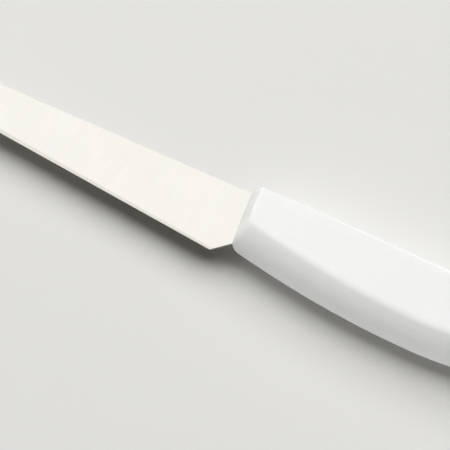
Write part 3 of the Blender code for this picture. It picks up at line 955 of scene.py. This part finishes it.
def grind_lines_group():
    """Fine lines of a grinding belt, across Y, with the broad bands that its passes leave."""
    tree, given, result = new_group(
        "Grind lines", {"Spacing": 0.0001, "Length": 0.01, "Band Width": 0.004},
        {"Lines": FLOAT, "Bands": FLOAT})
    lengthwise = scale_for(tree, 1, given["Length"])
    for row, width, detail, output in ((0, "Spacing", 3.0, "Lines"),
                                       (2, "Band Width", 1.0, "Bands")):
        scales = scale_for(tree, row, given[width]), lengthwise, lengthwise
        noise = stretched_noise(tree, row, given["Vector"], scales, detail)
        feed(tree, result, {output: spread_value(tree, 5, row, noise, 0.0, 1.0, *NOISE_RANGE)})
    return tree


def mould_grain_group():
    """The even, pebbled texture that a spark-cut mould leaves on plastic."""
    tree, given, result = new_group("Mould grain", {"Grain Size": 0.0002},
                                    {"Grain": FLOAT, "Pebbles": FLOAT})
    scale = scale_for(tree, 0, given["Grain Size"])
    noise = add_node(tree, "ShaderNodeTexNoise", 3, 0,
                     {"Vector": given["Vector"], "Scale": scale, "Detail": 2.0})
    coarse = calculate(tree, "MULTIPLY", 2, 1, scale, PEBBLE_SCALE)
    pebbles = add_node(tree, "ShaderNodeTexVoronoi", 3, 1,
                       {"Vector": given["Vector"], "Scale": coarse}, feature="SMOOTH_F1")
    mixed = calculate(tree, "ADD", 4, 0, noise.outputs[0], pebbles.outputs["Distance"])
    feed(tree, result, {"Grain": calculate(tree, "MULTIPLY", 5, 0, mixed, 0.5),
                        "Pebbles": pebbles.outputs["Distance"]})
    return tree


def drift_group():
    """Slow, faint change of colour over a surface, and the same drift as a value."""
    tree, given, result = new_group(
        "Slow drift",
        {"Patch Size": 0.02, "Colour": (0.8, 0.8, 0.8, 1.0), "Tint": (0.7, 0.7, 0.7, 1.0),
         "Amount": 0.5},
        {"Colour": COLOUR, "Drift": FLOAT})
    scale = scale_for(tree, 0, given["Patch Size"])
    noise = add_node(tree, "ShaderNodeTexNoise", 2, 0,
                     {"Vector": given["Vector"], "Scale": scale, "Detail": 2.0})
    spread = spread_value(tree, 3, 0, noise.outputs[0], 0.0, 1.0, *NOISE_RANGE)
    share = calculate(tree, "MULTIPLY", 4, 0, spread, given["Amount"])
    blend = blend_colours(tree, 5, 0, share, given["Colour"], given["Tint"])
    feed(tree, result, {"Colour": blend, "Drift": noise.outputs[0]})
    return tree


def hairlines_group():
    """Sparse hairline marks of handling, in three directions."""
    tree, given, result = new_group(
        "Hairline marks", {"Length": 0.02, "Width": 0.0004, "Sparseness": 0.72},
        {"Marks": FLOAT})
    across, lengthwise = (scale_for(tree, row, given[size])
                          for row, size in enumerate(("Width", "Length")))
    total = 0.0
    for row, angle in enumerate(MARK_ANGLES):
        turned = turn_vector(tree, 1, row + 2, given["Vector"], angle)
        noise = stretched_noise(tree, row, turned, (lengthwise, across, lengthwise), 1.0)
        mark = spread_value(tree, 5, row, noise, 0.0, 1.0, given["Sparseness"])
        total = calculate(tree, "MAXIMUM", 6, row, total, mark)
    feed(tree, result, {"Marks": total})
    return tree


GROUP_MAKERS = {
    "Grind lines": grind_lines_group,
    "Mould grain": mould_grain_group,
    "Slow drift": drift_group,
    "Hairline marks": hairlines_group,
}


def place_group(tree, row, name, where, inputs):
    """Place a shared group, made when first asked for, and give its outputs."""
    group = bpy.data.node_groups.get(name) or GROUP_MAKERS[name]()
    node = add_node(tree, "ShaderNodeGroup", 2, row, {}, node_tree=group)
    feed(tree, node, {"Vector": where, **inputs})
    return node.outputs


def new_material(name):
    """A material, its node tree and its Principled shader."""
    made = bpy.data.materials.new(name)
    made.use_nodes = True
    tree = made.node_tree
    shader = tree.nodes["Principled BSDF"]
    shader.location = (6 * COLUMN, 0)
    tree.nodes["Material Output"].location = (8 * COLUMN, 0)
    return made, tree, shader


def own_coordinates(tree):
    """The object's own coordinates."""
    return add_node(tree, "ShaderNodeTexCoord", 0, 0, {}).outputs["Object"]


def raised_normal(tree, height, distance):
    """The normal of a surface with a height map on it."""
    bump = add_node(tree, "ShaderNodeBump", 5, 2, {"Height": height, "Strength": 1.0,
                                                   "Distance": distance})
    return bump.outputs[0]


def swung(tree, column, row, value, middle):
    """A roughness that a value swings about its middle."""
    return spread_value(tree, column, row, value, middle - ROUGHNESS_SWING,
                        middle + ROUGHNESS_SWING)


def rgba(colour, level=1.0):
    """A colour property as a socket's value, at a share of its level."""
    return (*[channel * level for channel in colour], 1.0)


def ground_steel(settings, finish):
    """Steel ground in one direction: lines in its roughness and relief, bands in its tone."""
    made, tree, shader = new_material(finish.name)
    where = own_coordinates(tree)
    colour = getattr(settings, finish.colour)
    turned = turn_vector(tree, 1, 0, where, math.radians(finish.turn))
    lines = place_group(tree, 0, "Grind lines", turned,
                        {"Spacing": finish.spacing, "Length": finish.length,
                         "Band Width": finish.spacing * LINES_IN_BAND})
    drift = place_group(tree, 1, "Slow drift", where,
                        {"Patch Size": STEEL_PATCH, "Colour": rgba(colour),
                         "Tint": rgba(colour, PATCH_LEVEL), "Amount": STEEL_DRIFT})
    marks = place_group(tree, 2, "Hairline marks", where, {"Sparseness": STEEL_MARKS})
    warm = [channel * share for channel, share in zip(colour, WARM_TINT)]
    banded = calculate(tree, "MULTIPLY", 3, 1, lines["Bands"], BAND_SHARE)
    toned = blend_colours(tree, 3, 0, banded, drift["Colour"], rgba(warm))
    lined = calculate(tree, "MULTIPLY", 3, 2, lines["Lines"], LINE_SHARE)
    rough = swung(tree, 4, 1, lines["Lines"], settings.roughness + finish.duller)
    dulled = calculate(tree, "MULTIPLY", 3, 3, marks["Marks"], MARK_DULLS)
    feed(tree, shader, {
        "Base Color": blend_colours(tree, 4, 0, lined, toned, rgba(colour, LINE_LEVEL)),
        "Roughness": calculate(tree, "ADD", 5, 1, rough, dulled),
        "Normal": raised_normal(tree, lines["Lines"], finish.depth),
        "Metallic": 1.0,
    })
    return made


def moulded_plastic(settings, finish):
    """Matt moulded plastic with a fine mould texture and faint streaks of its flow."""
    made, tree, shader = new_material(finish.name)
    where = own_coordinates(tree)
    colour = getattr(settings, finish.colour)
    tint = rgba(colour, finish.tint)
    drift = place_group(tree, 0, "Slow drift", where,
                        {"Patch Size": PLASTIC_PATCH, "Colour": rgba(colour), "Tint": tint,
                         "Amount": PLASTIC_DRIFT})
    grain = place_group(tree, 1, "Mould grain", where,
                        {"Grain Size": settings.grain_size * finish.coarser})
    marks = place_group(tree, 2, "Hairline marks", where,
                        {"Width": PLASTIC_MARK_WIDTH, "Sparseness": PLASTIC_MARKS})
    turned = turn_vector(tree, 1, 3, where, math.radians(90.0))
    flow = place_group(tree, 3, "Grind lines", turned,
                       {"Spacing": FLOW_SPACING, "Length": FLOW_LENGTH,
                        "Band Width": FLOW_SPACING * FLOW_LINES_IN_BAND})
    streaks = calculate(tree, "MULTIPLY", 3, 4, flow["Lines"], FLOW_SHARE)
    rough = swung(tree, 3, 1, grain["Pebbles"], settings.roughness + finish.duller)
    polished = calculate(tree, "MULTIPLY", 3, 2, marks["Marks"], MARK_POLISHES)
    rough = calculate(tree, "SUBTRACT", 4, 1, rough, polished)
    dulled = spread_value(tree, 3, 3, drift["Drift"], -DRIFT_DULLS, DRIFT_DULLS)
    feed(tree, shader, {
        "Base Color": blend_colours(tree, 4, 3, streaks, drift["Colour"], tint),
        "Roughness": calculate(tree, "ADD", 4, 0, rough, dulled),
        "Normal": raised_normal(tree, grain["Grain"], finish.depth),
        "IOR": PLASTIC_IOR,
        "Subsurface Weight": finish.glow,
        "Subsurface Radius": GLOW_COLOUR,
        "Subsurface Scale": GLOW_DEPTH,
    })
    return made


def floor_finish(stage):
    """A plain matt floor."""
    made, tree, shader = new_material("plain_floor")
    feed(tree, shader, {"Base Color": rgba(stage.floor_colour), "Roughness": FLOOR_ROUGHNESS,
                        "Specular IOR Level": FLOOR_GLOSS})
    return made


# Stage

def hang_panel(panel):
    """A soft panel facing the knife with its long side level, and the light it gives a floor.

    The second value is the light that a floor at the knife takes in for each watt per square
    metre and steradian that leaves the panel, summed over the panel's cells.
    """
    place = Vector(panel.place)
    away = place.normalized()
    side = (Vector((1.0, 0.0, 0.0)) - away * away.x).normalized()
    rise = away.cross(side)
    steps = [(i + 0.5) / LAMP_CELLS - 0.5 for i in range(LAMP_CELLS)]
    received = 0.0
    for across in steps:
        for up in steps:
            spot = place + side * (panel.width * across) + rise * (panel.height * up)
            received += max(spot.z, 0.0) * place.length / spot.length**4
    received *= panel.width * panel.height / LAMP_CELLS**2
    data = bpy.data.lights.new(panel.name, "AREA")
    data.shape = "RECTANGLE"
    data.size = panel.width
    data.size_y = panel.height
    lamp = add_turned(panel.name, data, place, (side, rise, away))
    lamp.visible_camera = False
    return lamp, received


def set_brightness(lamp, brightness):
    """Give a panel the brightness that a camera would see in it, where 1 is white."""
    lamp.data.energy = brightness * math.pi * lamp.data.size * lamp.data.size_y


def add_soft_light(panel, stage):
    """A panel that lights a white floor to a level, and doesn't show in the steel."""
    lamp, received = hang_panel(panel)
    set_brightness(lamp, getattr(stage, panel.level) * math.pi / received)
    lamp.visible_glossy = False


def add_reflection_card(panel, stage):
    """A bright card that shows in the steel and lights nothing else."""
    lamp, _ = hang_panel(panel)
    set_brightness(lamp, getattr(stage, panel.level))
    lamp.visible_diffuse = False


def light_room(stage):
    """A dim room for the light, pale to the camera and to reflections."""
    world = bpy.data.worlds.new("pale_room")
    world.use_nodes = True
    tree = world.node_tree
    tree.nodes.clear()
    path = add_node(tree, "ShaderNodeLightPath", 0, 0, {}).outputs
    seen = calculate(tree, "MAXIMUM", 1, 0, path["Is Camera Ray"], path["Is Glossy Ray"])
    seen = calculate(tree, "MAXIMUM", 2, 0, seen, path["Is Transmission Ray"])
    dim = add_node(tree, "ShaderNodeBackground", 3, 0,
                   {"Color": rgba(AMBIENT_TINT), "Strength": stage.ambient_strength})
    pale = add_node(tree, "ShaderNodeBackground", 3, 1,
                    {"Color": rgba(stage.background_colour), "Strength": 1.0})
    mixed = add_node(tree, "ShaderNodeMixShader", 4, 0,
                     {0: seen, 1: dim.outputs[0], 2: pale.outputs[0]})
    add_node(tree, "ShaderNodeOutputWorld", 5, 0, {"Surface": mixed.outputs[0]})
    bpy.context.scene.world = world


def set_camera(stage, origin):
    """The camera, low on the edge's side and turned towards the butt."""
    elevation, turn = stage.camera_elevation, stage.camera_turn
    back = Vector((math.sin(turn) * math.cos(elevation), -math.cos(turn) * math.cos(elevation),
                   math.sin(elevation)))
    right = Vector((math.cos(turn), math.sin(turn), 0.0))
    up = back.cross(right)
    target = origin + LOOK_AT + up * LOOK_RISE
    data = bpy.data.cameras.new("camera")
    data.sensor_width = SENSOR_WIDTH
    data.lens = stage.focal_length
    data.clip_start = CLIP_START
    data.clip_end = CLIP_END
    place = target + back * stage.camera_distance
    bpy.context.scene.camera = add_turned("camera", data, place, (right, up, back))


def lay_floor(stage):
    """A wide plain floor that the knife lies on."""
    shape = bmesh.new()
    bmesh.ops.create_grid(shape, x_segments=FLOOR_CELLS, y_segments=FLOOR_CELLS,
                          size=FLOOR_SIZE / 2)
    floor = add_shape("floor", shape)
    floor.data.materials.append(floor_finish(stage))


class CHEESEKNIFE_OT_blade(bpy.types.Operator):
    """Make the steel blade with its ground faces, its bevelled edge and its fork"""
    bl_idname = "cheese_knife.make_blade"
    bl_label = "Make blade"

    def execute(self, context):
        scene = context.scene
        form = BladeForm(scene.knife_blade, HandleForm(scene.knife_handle))
        blade = make_blade_mesh(form)
        seat(blade, knife_origin(form))
        for finish in BLADE_FINISHES:
            blade.data.materials.append(ground_steel(scene.knife_blade, finish))
        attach(blade, "root")
        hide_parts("blade")
        return {"FINISHED"}


class CHEESEKNIFE_OT_handle(bpy.types.Operator):
    """Make the white moulded handle, closed onto the blade at its nose"""
    bl_idname = "cheese_knife.make_handle"
    bl_label = "Make handle"

    def execute(self, context):
        scene = context.scene
        handle = HandleForm(scene.knife_handle)
        form = BladeForm(scene.knife_blade, handle)
        moulding = make_handle_mesh(handle, form)
        seat(moulding, knife_origin(form))
        moulding.data.materials.append(moulded_plastic(scene.knife_handle, HANDLE_FINISH))
        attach(moulding, "root")
        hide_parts("handle")
        return {"FINISHED"}


class CHEESEKNIFE_OT_core(bpy.types.Operator):
    """Finish the core that grips the tang inside the handle"""
    bl_idname = "cheese_knife.finish_core"
    bl_label = "Finish core"

    def execute(self, context):
        finish = moulded_plastic(context.scene.knife_handle, CORE_FINISH)
        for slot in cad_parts["tang_core"].material_slots:
            slot.material = finish
        return {"FINISHED"}


class CHEESEKNIFE_OT_stage(bpy.types.Operator):
    """Lay the floor, hang the soft lamps and set the camera"""
    bl_idname = "cheese_knife.set_stage"
    bl_label = "Set stage"

    def execute(self, context):
        scene = context.scene
        stage = scene.knife_stage
        origin = knife_origin(BladeForm(scene.knife_blade, HandleForm(scene.knife_handle)))
        set_camera(stage, origin)
        lay_floor(stage)
        light_room(stage)
        for panel in SOFT_LIGHTS:
            add_soft_light(panel, stage)
        add_reflection_card(STEEL_CARD, stage)
        scene.view_settings.view_transform = "Standard"
        return {"FINISHED"}


class CHEESEKNIFE_PT_sidebar(bpy.types.Panel):
    """The knife's pieces and their settings"""
    bl_idname = "CHEESEKNIFE_PT_sidebar"
    bl_label = "Cheese Knife"
    bl_space_type = "VIEW_3D"
    bl_region_type = "UI"
    bl_category = "Cheese Knife"

    def draw(self, context):
        scene = context.scene
        parts = [
            (scene.knife_blade, [CHEESEKNIFE_OT_blade]),
            (scene.knife_handle, [CHEESEKNIFE_OT_handle, CHEESEKNIFE_OT_core]),
            (scene.knife_stage, [CHEESEKNIFE_OT_stage]),
        ]
        for settings, operators in parts:
            box = self.layout.box()
            for name in settings.__annotations__:
                box.prop(settings, name)
            for operator in operators:
                box.operator(operator.bl_idname)


CLASSES = (
    BladeSettings, HandleSettings, StageSettings, CHEESEKNIFE_OT_blade, CHEESEKNIFE_OT_handle,
    CHEESEKNIFE_OT_core, CHEESEKNIFE_OT_stage, CHEESEKNIFE_PT_sidebar,
)


def register():
    """Add the settings, operators and panel to Blender."""
    for made in CLASSES:
        bpy.utils.register_class(made)
    bpy.types.Scene.knife_blade = PointerProperty(type=BladeSettings)
    bpy.types.Scene.knife_handle = PointerProperty(type=HandleSettings)
    bpy.types.Scene.knife_stage = PointerProperty(type=StageSettings)


def unregister():
    """Take them away again."""
    del bpy.types.Scene.knife_blade
    del bpy.types.Scene.knife_handle
    del bpy.types.Scene.knife_stage
    for made in reversed(CLASSES):
        bpy.utils.unregister_class(made)


def main():
    """Make every piece and the stage."""
    register()
    bpy.ops.cheese_knife.set_stage()
    bpy.ops.cheese_knife.make_blade()
    bpy.ops.cheese_knife.make_handle()
    bpy.ops.cheese_knife.finish_core()


if __name__ == "__main__":
    main()
